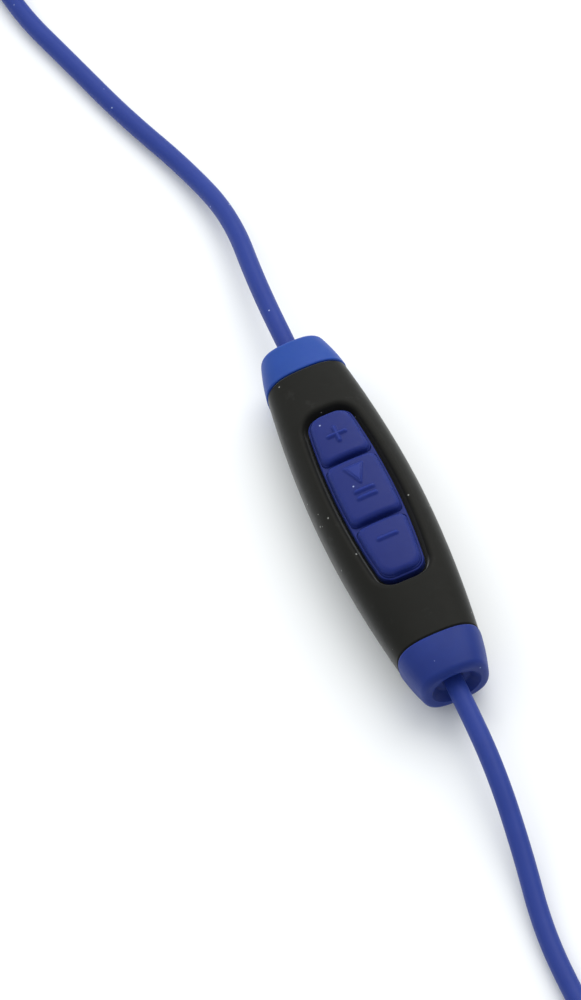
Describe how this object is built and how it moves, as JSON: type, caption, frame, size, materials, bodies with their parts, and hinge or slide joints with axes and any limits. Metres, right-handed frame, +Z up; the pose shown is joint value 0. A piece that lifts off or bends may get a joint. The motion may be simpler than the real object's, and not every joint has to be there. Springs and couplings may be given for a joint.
{
  "type": "in-line headphone remote control",
  "caption": "Slim barrel-shaped in-line remote with three soft keys on a round cord, plugs at both ends, spare cord in tied hanks.",
  "frame": {"origin": "under the middle of the remote, on the surface that it lies on", "axes": "+Y along the remote towards the volume-up key and the headphone end of the cord, +Z up out of the keys, +X across the keys"},
  "size_m": [0.0202, 0.279, 0.0136],
  "materials": {
    "black_shell": "soft-touch black moulded plastic, very fine matt grain",
    "blue_silicone": "matt blue silicone rubber, fine moulded texture",
    "blue_cap": "matt blue thermoplastic elastomer, slightly translucent at thin edges",
    "blue_cord": "matt royal blue elastomer jacket with a soft sheen",
    "plunger_plastic": "natural white moulded plastic",
    "switch_plastic": "black moulded plastic",
    "spring_steel": "stamped stainless steel",
    "board": "green solder mask over copper tracks",
    "chips": "dark moulded component bodies",
    "microphone_can": "plain drawn metal can",
    "black_rubber": "soft black rubber",
    "microphone_mesh": "fine dark woven mesh",
    "clamp_metal": "plain crimped brass",
    "wire_lacquer": "lacquered conductors",
    "strap": "black hook-and-loop strap",
    "plug_grip": "matt blue moulded elastomer",
    "plug_metal": "polished gold plating",
    "plug_insulator": "black insulating plastic"
  },
  "bodies": {
    "housing": {"board_components": "chips", "board_screws": "spring_steel", "bottom_shell": "black_shell", "circuit_board": "board", "keypad_frame": "blue_silicone", "lower_cord": "blue_cord", "lower_cord_clamp": "clamp_metal", "lower_cord_tail": "blue_cord", "lower_end_cap": "blue_cap", "lower_hank": "blue_cord", "lower_lead_wires": "wire_lacquer", "lower_plug_core": "plug_insulator", "lower_plug_grip": "plug_grip", "lower_plug_insulators": "plug_insulator", "lower_plug_relief": "plug_grip", "lower_plug_rings": "plug_metal", "lower_plug_sleeve": "plug_metal", "lower_plug_tip": "plug_metal", "lower_tie": "strap", "microphone_boot": "black_rubber", "microphone_capsule": "microphone_can", "microphone_mesh": "microphone_mesh", "play_pause_switch": "switch_plastic", "play_pause_switch_cover": "spring_steel", "top_shell": "black_shell", "upper_cord": "blue_cord", "upper_cord_clamp": "clamp_metal", "upper_cord_tail": "blue_cord", "upper_end_cap": "blue_cap", "upper_hank": "blue_cord", "upper_lead_wires": "wire_lacquer", "upper_plug_core": "plug_insulator", "upper_plug_grip": "plug_grip", "upper_plug_insulators": "plug_insulator", "upper_plug_relief": "plug_grip", "upper_plug_rings": "plug_metal", "upper_plug_sleeve": "plug_metal", "upper_plug_tip": "plug_metal", "upper_tie": "strap", "volume_down_switch": "switch_plastic", "volume_down_switch_cover": "spring_steel", "volume_up_switch": "switch_plastic", "volume_up_switch_cover": "spring_steel"},
    "volume_up": {"volume_up_key": "blue_silicone", "volume_up_plunger": "plunger_plastic"},
    "play_pause": {"play_pause_key": "blue_silicone", "play_pause_plunger": "plunger_plastic"},
    "volume_down": {"volume_down_key": "blue_silicone", "volume_down_plunger": "plunger_plastic"}
  },
  "joints": [
    {"name": "volume_up_press", "type": "slide", "parent": "housing", "child": "volume_up", "axis": [0, 0, -1], "range_m": [0, 0.0003], "stiffness_N_per_m": 4000},
    {"name": "play_pause_press", "type": "slide", "parent": "housing", "child": "play_pause", "axis": [0, 0, -1], "range_m": [0, 0.0003], "stiffness_N_per_m": 4000},
    {"name": "volume_down_press", "type": "slide", "parent": "housing", "child": "volume_down", "axis": [0, 0, -1], "range_m": [0, 0.0003], "stiffness_N_per_m": 4000}
  ]
}
